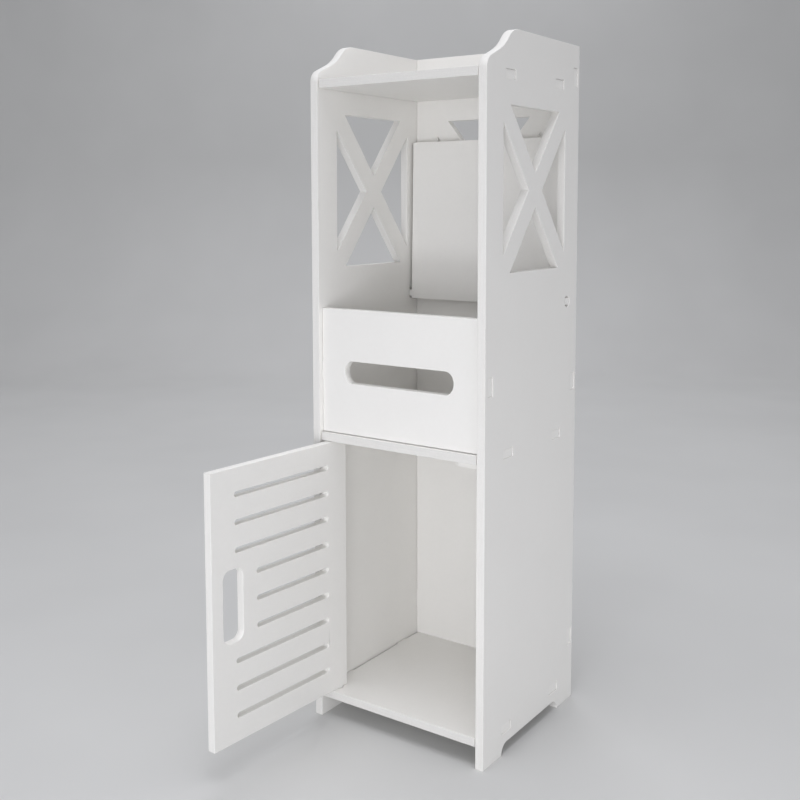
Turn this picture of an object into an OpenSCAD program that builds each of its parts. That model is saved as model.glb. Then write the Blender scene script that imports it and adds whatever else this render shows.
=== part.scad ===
// Slim free-standing linen cabinet of thin white board that slots together.
// The origin is the outer rear bottom corner of the left side panel, on the floor.
// X runs to the right seen from the front, Y runs to the wall behind, Z runs up.
// The fronts of the boards therefore lie at negative Y.

/* [Cabinet] */
// Width over both side panels
cabinet_w = 234; // [215:1:300]
// Depth of the side panels
cabinet_d = 217.5; // [205:0.5:250]
// Height of the side panels and of the back panel
cabinet_h = 800; // [720:1:950]
// Thickness of every board
board_t = 10; // [9:0.5:11]

/* [Levels] */
// Floor to the underside of the bottom shelf
plinth_h = 24; // [18:1:32]
// Height of the tissue box's front board
tissue_h = 145.3; // [125:0.1:160]
// Clear height from the tissue box's front board to the top shelf
open_h = 253.2; // [240:0.1:300]
// Height of the side panels above the top shelf
tray_h = 43.7; // [40:0.1:55]
// How far the shelves stand back from the side panels' front edges
shelf_inset = 1.4; // [0:0.1:5]

/* [Scrolled top of the side panels] */
// Radius at the front edge
nose_r = 14; // [8:1:18]
// Length of the straight rise behind it
rise_l = 19; // [10:1:25]
// Slope of the straight rise, in degrees
rise_slope = 24; // [15:1:30]
// Radius of the hollow behind the rise
hollow_r = 57; // [40:1:65]
// Slope where the hollow meets the crest, in degrees
crest_slope = 50; // [40:1:55]
// Radius of the crest
crest_r = 28; // [15:1:35]

/* [Feet] */
// Length of each sole along the side panel
foot_l = 40.5; // [25:0.5:60]
// Height of the arch between the feet, and radius of its corners
arch_h = 12; // [6:1:16]

/* [X windows] */
// Width of the windows in the side panels
side_window_w = 146; // [120:1:154]
// Width of the window in the back panel
back_window_w = 149; // [120:1:160]
// Height of the windows
window_h = 180; // [150:1:190]
// Window top to the underside of the top shelf
window_drop = 26.8; // [20:0.1:40]
// Width of the crossed bars
bar_w = 24; // [16:1:32]

/* [Back panel] */
// Rear edges of the side panels to the rear of the back panel
back_inset = 4; // [2:0.5:6]
// Top edge to the middle of the upper tab
back_tab_drop = 37; // [31:1:43]
// Bottom edge to the middle of the lower tab
back_tab_rise = 56; // [30:1:90]

/* [Tabs and slots] */
// Length of every tab
tab_l = 20.5; // [16:0.5:24]
// Side panel's front or rear edge to the middle of a shelf tab
tab_inset = 51; // [42:1:60]
// Play of a tab in its slot, on each free side
tab_gap = 0.3; // [0.15:0.05:0.6]
// How far a tab's end lies inside the side panel's outer face
tab_recess = 0.9; // [0:0.1:3]
// Play between an upright board's end and the side panel
end_gap = 0.4; // [0.2:0.1:1.2]
// Play between a shelf's end and the side panel
shelf_end_gap = 1.5; // [0.2:0.1:2.5]

/* [Tissue box] */
// How far its front stands back from the side panels' front edges
tissue_inset = 6; // [3:0.5:9]
// Gap between the middle shelf and the front board, which hangs on its tabs
tissue_low_gap = 0.8; // [0.3:0.1:2]
// Length of the tissue slot
tissue_slot_l = 148; // [110:1:160]
// Height of the tissue slot
tissue_slot_h = 26; // [18:1:27]
// Radius of the tissue slot's ends
tissue_end_r = 14.2; // [13.6:0.2:20]

/* [Tissue lid] */
// Play between the lid and each side panel
lid_side_gap = 3.4; // [2:0.1:6]
// Rear edges of the side panels to the lid's pivot
lid_pivot_inset = 25.7; // [25:0.1:28]
// How far the lid reaches behind its pivot
lid_tail = 7; // [5:0.5:8]
// How far the closed lid stands out past the side panels
lid_overhang = 3; // [0:0.5:8]
// Gap between the closed lid and the tissue front
lid_rest_gap = 0.3; // [0.2:0.1:0.6]
// How far the lid is open at rest, in degrees
lid_open = 91.2; // [0:0.1:91.5]

/* [Door] */
// Side panels' front edges to the closed door's front
door_inset = 10; // [8:0.5:12]
// Gap between the door's swinging corner and the left side panel
door_swing_gap = 0.42; // [0.3:0.02:1]
// Gap between the closed door and the right side panel
door_free_gap = 2.3; // [1:0.1:6]
// Gap under the door
door_low_gap = 0.4; // [0.3:0.1:3]
// Gap over the door
door_top_gap = 0.6; // [0.4:0.1:3]
// Hinged edge of the door to its pivot
door_pivot_inset = 11; // [9:0.5:14]
// How far the door is open at rest, in degrees
door_open = 94; // [0:1:110]

/* [Door openings] */
// Height of one louvre slot
slot_h = 6; // [4:0.5:9]
// Spacing of the louvre slots
slot_pitch = 30.5; // [26:0.1:32]
// Slot ends to the door's hinged edge
slot_hinge_margin = 31.3; // [25:0.1:40]
// Ends of the longer slots to the door's free edge
slot_free_margin = 33.2; // [25:0.1:42]
// Least distance from a slot to the door's upper or lower edge
slot_edge = 20; // [15:0.5:30]
// Width of the handle hole
handle_w = 28.7; // [22:0.1:34]
// Height of the handle hole
handle_h = 81; // [65:1:110]
// Radius of the handle hole's corners
handle_r = 10; // [6:0.5:10.5]
// Handle hole to the door's free edge
handle_inset = 15.4; // [12:0.1:20]
// Handle hole to the shorter slots beside it
handle_slot_gap = 20.2; // [14:0.1:26]
// How far the handle hole's middle lies above the door's middle
handle_rise = 1; // [-5:0.5:5]

/* [Pivots] */
// Width of the ears that the lid and the door turn on
ear_w = 8; // [7:0.5:10]
// Radial play of an ear's corners in its hole
ear_gap = 0.27; // [0.2:0.01:0.4]
// How far an ear's end lies inside the board that carries it
ear_recess = 0.5; // [0.2:0.1:1.5]

/* [Door stop] */
// Length of the stop from the right side panel
stop_l = 44; // [25:0.5:60]
// Depth of the stop, front to rear
stop_d = 20; // [14:1:30]
// Radius of its rounded corner
stop_r = 12; // [4:1:13]
// Thickness of the stop
stop_t = 10; // [8:0.5:14]
// Gap between the closed door and the stop
stop_gap = 0.3; // [0.2:0.1:1]

/* [Hidden] */
$fn = 96;

// How far cuts run past the faces that they open
overrun = 1;

// Inner faces of the side panels
inner_left = board_t;
inner_right = cabinet_w - board_t;

// Front and rear faces of the back panel
back_rear_y = -back_inset;
back_front_y = back_rear_y - board_t;

// Clear height of the lower compartment, behind the door
lower_h = cabinet_h - plinth_h - 3 * board_t - tissue_low_gap - tissue_h - open_h - tray_h;

// Undersides of the shelves
bottom_shelf_z = plinth_h;
middle_shelf_z = bottom_shelf_z + board_t + lower_h;
top_shelf_z = cabinet_h - tray_h - board_t;

// Shelf outline and the middles of its tabs
shelf_front_y = shelf_inset - cabinet_d;
shelf_tab_ys = [tab_inset - cabinet_d, -tab_inset];

// Tissue front: its rear face, its foot and the height of its middle
tissue_rear_y = tissue_inset + board_t - cabinet_d;
tissue_z = middle_shelf_z + board_t + tissue_low_gap;
tissue_mid_z = tissue_z + tissue_h / 2;

// Undersides of the back panel's tabs
back_bottom_z = plinth_h;
back_tab_zs = [
    back_bottom_z + back_tab_rise - tab_l / 2,
    cabinet_h / 2 - tab_l / 2,
    cabinet_h - back_tab_drop - tab_l / 2
];

// Middle of the windows
window_mid_z = top_shelf_z - window_drop - window_h / 2;

// Scroll: centres of its arcs and the points where they meet
scroll_rise = nose_r * cos(rise_slope) + rise_l * sin(rise_slope)
    + hollow_r * (cos(rise_slope) - cos(crest_slope)) + crest_r * (1 - cos(crest_slope));
nose_c = [nose_r - cabinet_d, cabinet_h - scroll_rise];
nose_end = nose_c + nose_r * [-sin(rise_slope), cos(rise_slope)];
rise_end = nose_end + rise_l * [cos(rise_slope), sin(rise_slope)];
hollow_c = rise_end + hollow_r * [-sin(rise_slope), cos(rise_slope)];
hollow_end = hollow_c + hollow_r * [sin(crest_slope), -cos(crest_slope)];
crest_c = hollow_end + crest_r * [sin(crest_slope), -cos(crest_slope)];

// Pivot hole: it clears the corners of an ear of board thickness
pivot_r = norm([ear_w, board_t]) / 2 + ear_gap;

// Lid: pivot, and its outline while closed
lid_y = -lid_pivot_inset;
lid_z = tissue_z + tissue_h + lid_rest_gap + board_t / 2;
lid_left = inner_left + lid_side_gap;
lid_right = inner_right - lid_side_gap;
lid_front_y = -cabinet_d - lid_overhang;
lid_rear_y = lid_y + lid_tail;

// Door: pivot, and its outline while closed
door_rear_y = door_inset + board_t - cabinet_d;
door_y = door_rear_y - board_t / 2;
door_x = inner_left + norm([door_pivot_inset, board_t / 2]) + door_swing_gap;
door_left = door_x - door_pivot_inset;
door_right = inner_right - door_free_gap;
door_z = bottom_shelf_z + board_t + door_low_gap;
door_top_z = middle_shelf_z - door_top_gap;
door_mid_z = (door_z + door_top_z) / 2;

// Handle hole, and the number and the ends of the louvre slots
handle_x = door_right - handle_inset - handle_w / 2;
handle_z = door_mid_z + handle_rise;
slot_n = floor((door_top_z - door_z - slot_h - 2 * slot_edge) / slot_pitch) + 1;
slot_left = door_left + slot_hinge_margin;
slot_right = door_right - slot_free_margin;
slot_right_short = door_right - handle_inset - handle_w - handle_slot_gap;

// Door stop: front face and left end
stop_front_y = door_rear_y + stop_gap;
stop_left = inner_right - stop_l;

// A board that stands fore and aft, drawn as [depth, height], its left face at x
module side_board(x) {
    translate([x, 0, 0])
        rotate([90, 0, 90])
            linear_extrude(board_t)
                children();
}

// A board that faces the front, drawn as [width, height], its rear face at y
module front_board(y) {
    translate([0, y, 0])
        rotate([90, 0, 0])
            linear_extrude(board_t)
                children();
}

// A level board, drawn as [width, depth], its underside at z
module level_board(z, t = board_t) {
    translate([0, 0, z])
        linear_extrude(t)
            children();
}

// A rectangle from one corner to the other
module span(low, high) {
    translate(low)
        square(high - low);
}

// A slot with round ends from one end to the other
module round_slot(left, right, z, h) {
    span([left + h / 2, z - h / 2], [right - h / 2, z + h / 2]);
    for (x = [left + h / 2, right - h / 2])
        translate([x, z])
            circle(h / 2);
}

// Four triangles between a frame and two bars that run from corner to corner
module x_window(w, h) {
    difference() {
        square([w, h], center = true);
        for (side = [-1, 1])
            rotate(side * atan2(h, w))
                square([norm([w, h]) + bar_w, bar_w], center = true);
    }
}

// A slot in a side panel for a tab that rests on the slot's lower edge
module tab_slot(y, z, l, h) {
    span([y - l / 2 - tab_gap, z], [y + l / 2 + tab_gap, z + h + tab_gap]);
}

// Tabs at both ends of a board that faces the front
module side_tabs(z) {
    span([tab_recess, z], [cabinet_w - tab_recess, z + tab_l]);
}

// Outline of a side panel without its openings
module side_outline() {
    difference() {
        union() {
            polygon([
                [0, 0], [0, cabinet_h], [crest_c.x, cabinet_h], hollow_end, rise_end,
                nose_end, [-cabinet_d, nose_c.y], [-cabinet_d, 0]
            ]);
            translate(nose_c)
                circle(nose_r);
            translate(crest_c)
                circle(crest_r);
        }
        translate(hollow_c)
            circle(hollow_r);
        foot_arch();
    }
}

// Arch between the feet, with rounded upper corners
module foot_arch() {
    front_y = foot_l - cabinet_d + arch_h;
    rear_y = -foot_l - arch_h;
    span([front_y, -overrun], [rear_y, arch_h]);
    for (y = [front_y, rear_y])
        translate([y, 0])
            circle(arch_h);
}

// Slots in a side panel for the tabs of the shelves, back panel and tissue front
module side_slots() {
    for (z = [bottom_shelf_z, middle_shelf_z, top_shelf_z], y = shelf_tab_ys)
        tab_slot(y, z, tab_l, board_t);
    for (z = back_tab_zs)
        tab_slot(back_rear_y - board_t / 2, z, board_t, tab_l);
    tab_slot(tissue_rear_y - board_t / 2, tissue_mid_z - tab_l / 2, board_t, tab_l);
}

// One side panel with its left face at x
module side_panel(x) {
    difference() {
        side_board(x)
            difference() {
                side_outline();
                side_slots();
                translate([-cabinet_d / 2, window_mid_z])
                    x_window(side_window_w, window_h);
            }
        translate([x - overrun, lid_y, lid_z])
            rotate([0, 90, 0])
                cylinder(r = pivot_r, h = board_t + 2 * overrun);
    }
}

module side_panel_left() {
    color("whitesmoke")
        side_panel(0);
}

module side_panel_right() {
    color("whitesmoke")
        side_panel(inner_right);
}

module back_panel() {
    color("white")
        front_board(back_rear_y)
            difference() {
                union() {
                    span([inner_left + end_gap, back_bottom_z], [inner_right - end_gap, cabinet_h]);
                    for (z = back_tab_zs)
                        side_tabs(z);
                }
                translate([cabinet_w / 2, window_mid_z])
                    x_window(back_window_w, window_h);
            }
}

// One shelf with its underside at z
module shelf(z) {
    level_board(z) {
        span(
            [inner_left + shelf_end_gap, shelf_front_y],
            [inner_right - shelf_end_gap, back_front_y]
        );
        for (y = shelf_tab_ys)
            span([tab_recess, y - tab_l / 2], [cabinet_w - tab_recess, y + tab_l / 2]);
    }
}

// Hole through a shelf for an ear of the door
module door_pivot_hole(z) {
    translate([door_x, door_y, z - overrun])
        cylinder(r = pivot_r, h = board_t + 2 * overrun);
}

module top_shelf() {
    color("white")
        shelf(top_shelf_z);
}

module middle_shelf() {
    color("white")
        difference() {
            shelf(middle_shelf_z);
            door_pivot_hole(middle_shelf_z);
        }
}

module bottom_shelf() {
    color("white")
        difference() {
            shelf(bottom_shelf_z);
            door_pivot_hole(bottom_shelf_z);
        }
}

// Tissue slot: a bar cut by two large arcs that bulge at its ends
module tissue_slot() {
    end_x = tissue_slot_l / 2 - tissue_end_r;
    intersection() {
        square([tissue_slot_l, tissue_slot_h], center = true);
        union() {
            square([2 * end_x, tissue_slot_h], center = true);
            for (x = [-end_x, end_x])
                translate([x, 0])
                    circle(tissue_end_r);
        }
    }
}

module tissue_front() {
    color("whitesmoke")
        front_board(tissue_rear_y)
            difference() {
                union() {
                    span([inner_left + end_gap, tissue_z], [inner_right - end_gap, tissue_z + tissue_h]);
                    side_tabs(tissue_mid_z - tab_l / 2);
                }
                translate([cabinet_w / 2, tissue_mid_z])
                    tissue_slot();
            }
}

module tissue_lid() {
    color("whitesmoke")
        translate([0, lid_y, lid_z])
            rotate([-lid_open, 0, 0])
                translate([0, -lid_y, 0])
                    level_board(-board_t / 2) {
                        span([lid_left, lid_front_y], [lid_right, lid_rear_y]);
                        span(
                            [ear_recess, lid_y - ear_w / 2],
                            [cabinet_w - ear_recess, lid_y + ear_w / 2]
                        );
                    }
}

// Closed door with its ears, before its openings are cut
module door_outline() {
    ear_low_z = bottom_shelf_z + ear_recess;
    ear_top_z = middle_shelf_z + board_t - ear_recess;
    span([door_left, door_z], [door_right, door_top_z]);
    span([door_x - ear_w / 2, ear_low_z], [door_x + ear_w / 2, ear_top_z]);
}

// Louvre slots, the ones beside the handle hole shorter than the rest
module door_slots() {
    for (i = [0 : slot_n - 1]) {
        z = door_mid_z + (i - (slot_n - 1) / 2) * slot_pitch;
        beside_handle = abs(z - handle_z) < (handle_h + slot_h) / 2;
        round_slot(slot_left, beside_handle ? slot_right_short : slot_right, z, slot_h);
    }
}

// Upright handle hole with rounded corners
module door_handle() {
    corner = [handle_w / 2 - handle_r, handle_h / 2 - handle_r];
    translate([handle_x, handle_z]) {
        square([handle_w, 2 * corner.y], center = true);
        square([2 * corner.x, handle_h], center = true);
        for (x = [-corner.x, corner.x], z = [-corner.y, corner.y])
            translate([x, z])
                circle(handle_r);
    }
}

module door() {
    color("whitesmoke")
        translate([door_x, door_y, 0])
            rotate([0, 0, -door_open])
                translate([-door_x, -door_y, 0])
                    front_board(door_rear_y)
                        difference() {
                            door_outline();
                            door_slots();
                            door_handle();
                        }
}

// Plan of the door stop: a bar with its free front corner rounded
module stop_plan() {
    intersection() {
        span([stop_left, stop_front_y], [inner_right, stop_front_y + stop_d]);
        union() {
            span([stop_left, stop_front_y + stop_r], [inner_right, stop_front_y + stop_d]);
            span([stop_left + stop_r, stop_front_y], [inner_right, stop_front_y + stop_d]);
            translate([stop_left + stop_r, stop_front_y + stop_r])
                circle(stop_r);
        }
    }
}

module door_stop() {
    color("white")
        level_board(middle_shelf_z - stop_t, stop_t)
            stop_plan();
}

side_panel_left();
side_panel_right();
back_panel();
top_shelf();
middle_shelf();
bottom_shelf();
tissue_front();
tissue_lid();
door();
door_stop();
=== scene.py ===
"""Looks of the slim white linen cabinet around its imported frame."""
import math

import bpy
from mathutils import Matrix, Vector

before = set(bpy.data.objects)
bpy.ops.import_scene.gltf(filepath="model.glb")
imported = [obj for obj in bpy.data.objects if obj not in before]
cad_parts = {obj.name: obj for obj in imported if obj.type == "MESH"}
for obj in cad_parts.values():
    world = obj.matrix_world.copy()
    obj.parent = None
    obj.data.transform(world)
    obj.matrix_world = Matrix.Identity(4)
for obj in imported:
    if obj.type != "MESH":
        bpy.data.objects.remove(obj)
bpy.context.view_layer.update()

MM = 0.001

# Camera, in metres, radians and pixels of the 800 px wide photograph
CAMERA_PLACE = Vector((0.78358, -1.16015, 0.61463))
CAMERA_YAW = 0.60969
CAMERA_PITCH = -0.08935
CAMERA_ROLL = -0.00149
FOCAL_PX = 1048.7
IMAGE_PX = 800
HORIZON_CENTRE_PX = 297.5
SENSOR_MM = 36.0
NEAREST_SEEN = 0.01
FARTHEST_SEEN = 50

# Edges of the boards
EASED_EDGE = 0.45 * MM
EASED_SEGMENTS = 2
WELD_REACH = 0.002 * MM
SHARP_ANGLE = math.radians(30)
FLAT_ANGLE = math.radians(0.3)

# Colours, linear
FACE_TONES = ((0.905, 0.892, 0.862, 1), (0.925, 0.912, 0.882, 1))
EDGE_TONES = ((0.835, 0.822, 0.793, 1), (0.885, 0.872, 0.843, 1))
# painted shade: the shelves' cut edges are the same foam as the other cut edges, painted darker
SHELF_EDGE_PAINTED_SHADE_TONES = ((0.775, 0.763, 0.736, 1), (0.830, 0.818, 0.790, 1))
# painted shade: the door's faces are the same board as the cabinet's faces, painted a shade
# darker
DOOR_FACE_PAINTED_SHADE_TONES = ((0.845, 0.833, 0.805, 1), (0.865, 0.853, 0.825, 1))
# painted highlight: the door's cut edges are painted paler than the other cut edges
DOOR_EDGE_PAINTED_HIGHLIGHT_TONES = ((0.910, 0.897, 0.867, 1), (0.950, 0.937, 0.906, 1))
TAB_END_TONES = ((0.935, 0.922, 0.891, 1), (0.965, 0.952, 0.921, 1))
FLOOR_COLOR = (0.66, 0.66, 0.65, 1)
FLOOR_SEEN = (0.70, 0.70, 0.69, 1)
BLACK = (0, 0, 0, 1)
LAMP_COLOR = (0.955, 0.962, 1.0)

# Looks of the boards: the direction that the faces look in, then face tones and edge tones
LOOKS = {
    "side": ((1, 0, 0), FACE_TONES, EDGE_TONES),
    "upright": ((0, 1, 0), FACE_TONES, EDGE_TONES),
    # the shelves' cut edges carry painted shade
    "shelf": ((0, 0, 1), FACE_TONES, SHELF_EDGE_PAINTED_SHADE_TONES),
    # the door: painted shade on its faces and a painted highlight on its cut edges
    "door": ((1, 0, 0), DOOR_FACE_PAINTED_SHADE_TONES, DOOR_EDGE_PAINTED_HIGHLIGHT_TONES),
}
BOARDS = {
    "side_panel_left": "side",
    "side_panel_right": "side",
    "back_panel": "upright",
    "tissue_front": "upright",
    "tissue_lid": "upright",
    "door": "door",
    "top_shelf": "shelf",
    "middle_shelf": "shelf",
    "bottom_shelf": "shelf",
    # the door stop's front is a cut edge, yet it takes the paler face tones of the upright look:
    # painted light
    "door_stop": "upright",
}

# Patterns in the boards, in waves per metre
CLOUDS = 14.0
MOTTLE = 240.0
STREAKS_ALONG = 40.0
STREAKS_ACROSS = 700.0
FOAM = 900.0
SHEEN_PATCHES = 60.0
RIPPLES = 9.0
GRAIN = 1400.0

# Octaves of the patterns, and the part of the noise that a pattern spreads out
EVEN_OCTAVES = 1.0
FINE_OCTAVES = 2.0
ROUGH_OCTAVES = 3.0
CLOUD_OCTAVES = 4.0
OCTAVE_FALLOFF = 0.55
NOISE_CORE = (0.35, 0.65)
NOISE_MOST = (0.3, 0.7)
NOISE_SUM_MOST = (0.7, 1.3)

# Relief and roughness of the boards
RIPPLE_DEPTH = 0.4 * MM
RIPPLE_STRENGTH = 0.25
GRAIN_DEPTH = 0.03 * MM
GRAIN_STRENGTH = 0.2
SKIN_ROUGHNESS = (0.36, 0.46)
CUT_ROUGHNESS = (0.55, 0.7)
BOARD_SPECULAR = 0.45

# A surface counts as turned to a direction between these cosines of the angle to it
TURNED_FROM = 0.55
TURNED_FULLY = 0.8

# Floor that curves up into a backdrop
STAGE_FRONT = -6.0
STAGE_WALL = 3.0
STAGE_HALF_WIDTH = 6.0
STAGE_HEIGHT = 5.0
COVE_RADIUS = 0.8
COVE_STEPS = 24
FLOOR_CLOUDS = 3.0
FLOOR_CLOUD_DEPTH = 0.04
FLOOR_ROUGHNESS = 0.8

# Lamps: place and target in metres, width and height, power in watts, spread.
# The lamps near the floor shine forward only, which keeps glare off the floor below them.
MIDDLE = (0.117, -0.11, 0.4)
LOW_MIDDLE = (0.117, -0.11, 0.3)
FULL_SPREAD = math.pi
LOW_SPREAD = math.radians(120)
LAMPS = {
    "broad": ((1.6, -3.6, 0.9), MIDDLE, (2.6, 2.6), 12.5, FULL_SPREAD),
    "side": ((2.1, -0.8, 0.42), LOW_MIDDLE, (1.2, 0.5), 2.6, LOW_SPREAD),
    "top": ((0.2, -0.6, 2.6), MIDDLE, (1.6, 1.6), 26, FULL_SPREAD),
    "low": ((0.8, -2.3, 0.4), LOW_MIDDLE, (1.4, 0.5), 3.6, LOW_SPREAD),
    "near": ((0.5, -1.2, 0.2), LOW_MIDDLE, (0.6, 0.2), 0.9, LOW_SPREAD),
    "rear": ((-1.4, 2.2, 2.3), MIDDLE, (1.8, 1.8), 24, FULL_SPREAD),
}
SKY_STRENGTH = 0.36


class Nodes:
    """A short way to build a material's nodes."""

    def __init__(self, name):
        self.material = bpy.data.materials.new(name)
        self.material.use_nodes = True
        self.tree = self.material.node_tree
        self.shader = self.tree.nodes["Principled BSDF"]

    def add(self, kind, inputs=None, **settings):
        node = self.tree.nodes.new(kind)
        for key, value in settings.items():
            setattr(node, key, value)
        for key, value in (inputs or {}).items():
            if isinstance(value, bpy.types.NodeSocket):
                self.tree.links.new(value, node.inputs[key])
            else:
                node.inputs[key].default_value = value
        return node

    def link(self, socket, target):
        self.tree.links.new(socket, self.shader.inputs[target])

    def position(self):
        return self.add("ShaderNodeTexCoord").outputs["Object"]

    def own_normal(self):
        """The surface's direction in the board's own frame, which turns with the board."""
        normal = self.add("ShaderNodeNewGeometry").outputs["True Normal"]
        settings = {"vector_type": "NORMAL", "convert_from": "WORLD", "convert_to": "OBJECT"}
        return self.add("ShaderNodeVectorTransform", {"Vector": normal}, **settings).outputs[0]

    def noise(self, vector, scale, octaves):
        inputs = {
            "Vector": vector, "Scale": scale, "Detail": octaves, "Roughness": OCTAVE_FALLOFF,
        }
        return self.add("ShaderNodeTexNoise", inputs).outputs["Fac"]

    def turned_to(self, normal, direction):
        """1 where the surface or its far side faces the direction, and 0 where it doesn't."""
        inputs = {0: normal, 1: direction}
        along = self.add("ShaderNodeVectorMath", inputs, operation="DOT_PRODUCT")
        cosine = self.math("ABSOLUTE", along.outputs["Value"], 0.0)
        return self.spread(cosine, TURNED_FROM, TURNED_FULLY)

    def scaled(self, vector, factors):
        inputs = {0: vector, 1: factors}
        return self.add("ShaderNodeVectorMath", inputs, operation="MULTIPLY").outputs[0]

    def spread(self, value, low, high, out_low=0.0, out_high=1.0):
        inputs = {
            "Value": value, "From Min": low, "From Max": high,
            "To Min": out_low, "To Max": out_high,
        }
        return self.add("ShaderNodeMapRange", inputs).outputs[0]

    def math(self, operation, first, second):
        return self.add("ShaderNodeMath", {0: first, 1: second}, operation=operation).outputs[0]

    def mix(self, factor, first, second):
        node = self.add("ShaderNodeMix", data_type="RGBA")
        for key, value in ((0, factor), (6, first), (7, second)):
            if isinstance(value, bpy.types.NodeSocket):
                self.tree.links.new(value, node.inputs[key])
            else:
                node.inputs[key].default_value = value
        return node.outputs[2]


def board_material(name, facing, face_tones, edge_tones):
    """Satin white foamed board: even skin on the faces, sawn foam on the cut edges."""
    n = Nodes(name)
    place = n.position()
    normal = n.own_normal()
    face = n.turned_to(normal, facing)

    cloudy = n.spread(n.noise(place, CLOUDS, CLOUD_OCTAVES), *NOISE_CORE)
    mottle = n.spread(n.noise(place, MOTTLE, FINE_OCTAVES), *NOISE_MOST)
    tone = n.math("MULTIPLY", n.math("ADD", cloudy, mottle), 0.5)
    skin = n.mix(tone, *face_tones)

    # saw streaks run along the cut edges and change only across the board's thickness
    across = tuple(
        STREAKS_ALONG + (STREAKS_ACROSS - STREAKS_ALONG) * abs(part) for part in facing
    )
    streaks = n.noise(n.scaled(place, across), 1.0, ROUGH_OCTAVES)
    bubbles = n.noise(place, FOAM, FINE_OCTAVES)
    foam = n.spread(n.math("ADD", streaks, bubbles), *NOISE_SUM_MOST)
    cut = n.mix(foam, *edge_tones)
    if not facing[0]:
        # the ends of the tabs look sideways and are the palest faces of the cabinet
        cut = n.mix(n.turned_to(normal, (1, 0, 0)), cut, n.mix(foam, *TAB_END_TONES))
    n.link(n.mix(face, cut, skin), "Base Color")

    sheen = n.noise(place, SHEEN_PATCHES, ROUGH_OCTAVES)
    skin_rough = n.spread(sheen, *NOISE_MOST, *SKIN_ROUGHNESS)
    cut_rough = n.spread(foam, 0.0, 1.0, *CUT_ROUGHNESS)
    rough = n.add("ShaderNodeMix", {0: face, 2: cut_rough, 3: skin_rough}, data_type="FLOAT")
    n.link(rough.outputs[0], "Roughness")

    ripple = n.noise(place, RIPPLES, EVEN_OCTAVES)
    grain = n.noise(place, GRAIN, FINE_OCTAVES)
    broad = n.add("ShaderNodeBump", {
        "Height": ripple, "Strength": RIPPLE_STRENGTH, "Distance": RIPPLE_DEPTH,
    })
    fine = n.add("ShaderNodeBump", {
        "Height": grain, "Strength": GRAIN_STRENGTH, "Distance": GRAIN_DEPTH,
        "Normal": broad.outputs[0],
    })
    n.link(fine.outputs[0], "Normal")
    n.shader.inputs["Specular IOR Level"].default_value = BOARD_SPECULAR
    return n.material


def ease_edges(node):
    """Flat n-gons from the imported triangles, then a small round on every sharp edge."""
    weld = node.modifiers.new("weld", "WELD")
    weld.merge_threshold = WELD_REACH
    flat = node.modifiers.new("flat", "DECIMATE")
    flat.decimate_type = "DISSOLVE"
    flat.angle_limit = FLAT_ANGLE
    bevel = node.modifiers.new("eased", "BEVEL")
    bevel.width = EASED_EDGE
    bevel.segments = EASED_SEGMENTS
    bevel.limit_method = "ANGLE"
    bevel.angle_limit = SHARP_ANGLE
    bevel.harden_normals = True
    bevel.use_clamp_overlap = False


def dress_boards():
    materials = {look: board_material(look + "_board", *LOOKS[look]) for look in LOOKS}
    for name, look in BOARDS.items():
        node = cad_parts[name]
        node.data.materials.clear()
        node.data.materials.append(materials[look])
        ease_edges(node)


def make_camera():
    data = bpy.data.cameras.new("camera")
    data.sensor_width = SENSOR_MM
    data.lens = FOCAL_PX * SENSOR_MM / IMAGE_PX
    data.shift_y = (HORIZON_CENTRE_PX - IMAGE_PX / 2) / IMAGE_PX
    data.clip_start = NEAREST_SEEN
    data.clip_end = FARTHEST_SEEN
    camera = bpy.data.objects.new("camera", data)
    bpy.context.scene.collection.objects.link(camera)
    turn = (
        Matrix.Rotation(CAMERA_YAW, 4, "Z")
        @ Matrix.Rotation(math.pi / 2 + CAMERA_PITCH, 4, "X")
        @ Matrix.Rotation(CAMERA_ROLL, 4, "Z")
    )
    camera.matrix_world = Matrix.Translation(CAMERA_PLACE) @ turn
    bpy.context.scene.camera = camera


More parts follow.
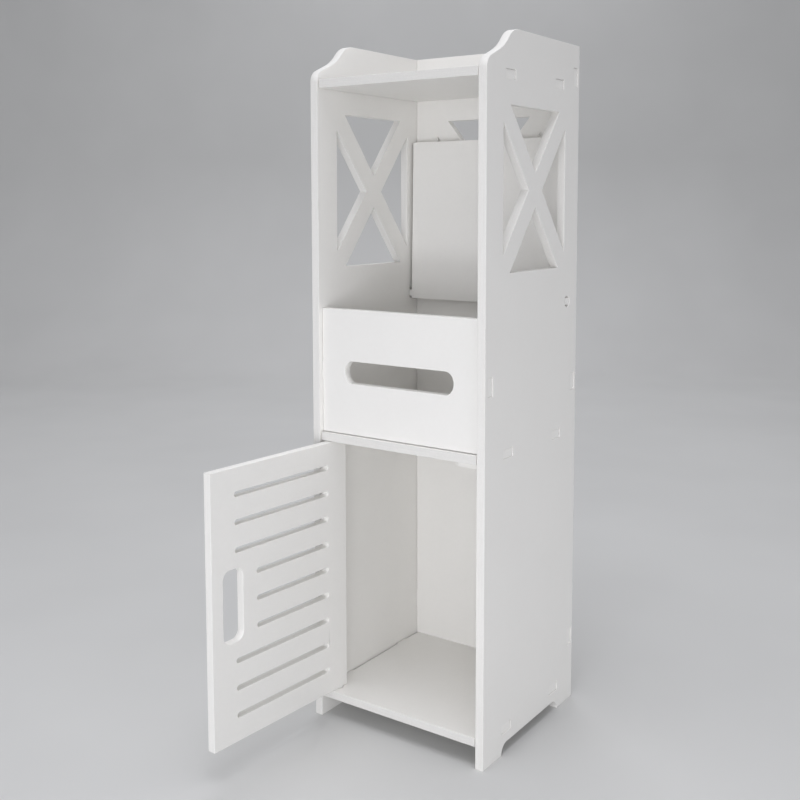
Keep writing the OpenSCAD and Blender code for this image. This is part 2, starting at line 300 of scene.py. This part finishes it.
def floor_material():
    """Pale matt floor, of another shade to the camera so that the white boards stand out."""
    n = Nodes("floor")
    seen = n.add("ShaderNodeLightPath").outputs["Is Camera Ray"]
    clouds = n.noise(n.position(), FLOOR_CLOUDS, FINE_OCTAVES)
    cloud = n.spread(clouds, *NOISE_MOST, 0.0, FLOOR_CLOUD_DEPTH)
    color = n.mix(seen, FLOOR_COLOR, FLOOR_SEEN)
    n.link(n.mix(cloud, color, BLACK), "Base Color")
    n.shader.inputs["Roughness"].default_value = FLOOR_ROUGHNESS
    return n.material


def stage_profile():
    """Points of the floor, the cove and the wall: distance behind the frame's origin, height."""
    cove_y = STAGE_WALL - COVE_RADIUS
    profile = [(STAGE_FRONT, 0.0), (cove_y, 0.0)]
    for i in range(1, COVE_STEPS):
        angle = math.pi / 2 * i / COVE_STEPS
        y = cove_y + COVE_RADIUS * math.sin(angle)
        profile.append((y, COVE_RADIUS * (1 - math.cos(angle))))
    return profile + [(STAGE_WALL, COVE_RADIUS), (STAGE_WALL, STAGE_HEIGHT)]


def make_stage():
    """A floor that curves up into a backdrop behind the cabinet."""
    profile = stage_profile()
    verts = []
    for y, z in profile:
        verts += [(-STAGE_HALF_WIDTH, y, z), (STAGE_HALF_WIDTH, y, z)]
    faces = [(2 * i, 2 * i + 1, 2 * i + 3, 2 * i + 2) for i in range(len(profile) - 1)]
    mesh = bpy.data.meshes.new("stage")
    mesh.from_pydata(verts, [], faces)
    for face in mesh.polygons:
        face.use_smooth = True
    stage = bpy.data.objects.new("stage", mesh)
    bpy.context.scene.collection.objects.link(stage)
    stage.matrix_world = Matrix.Rotation(CAMERA_YAW, 4, "Z")
    mesh.materials.append(floor_material())


def area_light(name, place, target, size, power, spread):
    data = bpy.data.lights.new(name, "AREA")
    data.shape = "RECTANGLE"
    data.size, data.size_y = size
    data.energy = power
    data.color = LAMP_COLOR
    data.spread = spread
    light = bpy.data.objects.new(name, data)
    bpy.context.scene.collection.objects.link(light)
    light.location = place
    aim = Vector(target) - Vector(place)
    light.rotation_euler = aim.to_track_quat("-Z", "Y").to_euler()


def make_lights():
    for name, lamp in LAMPS.items():
        area_light(name, *lamp)
    world = bpy.data.worlds.new("world")
    bpy.context.scene.world = world
    world.use_nodes = True
    background = world.node_tree.nodes["Background"]
    background.inputs["Color"].default_value = LAMP_COLOR + (1,)
    background.inputs["Strength"].default_value = SKY_STRENGTH


make_camera()
make_stage()
make_lights()
dress_boards()
bpy.context.scene.view_settings.view_transform = "Standard"
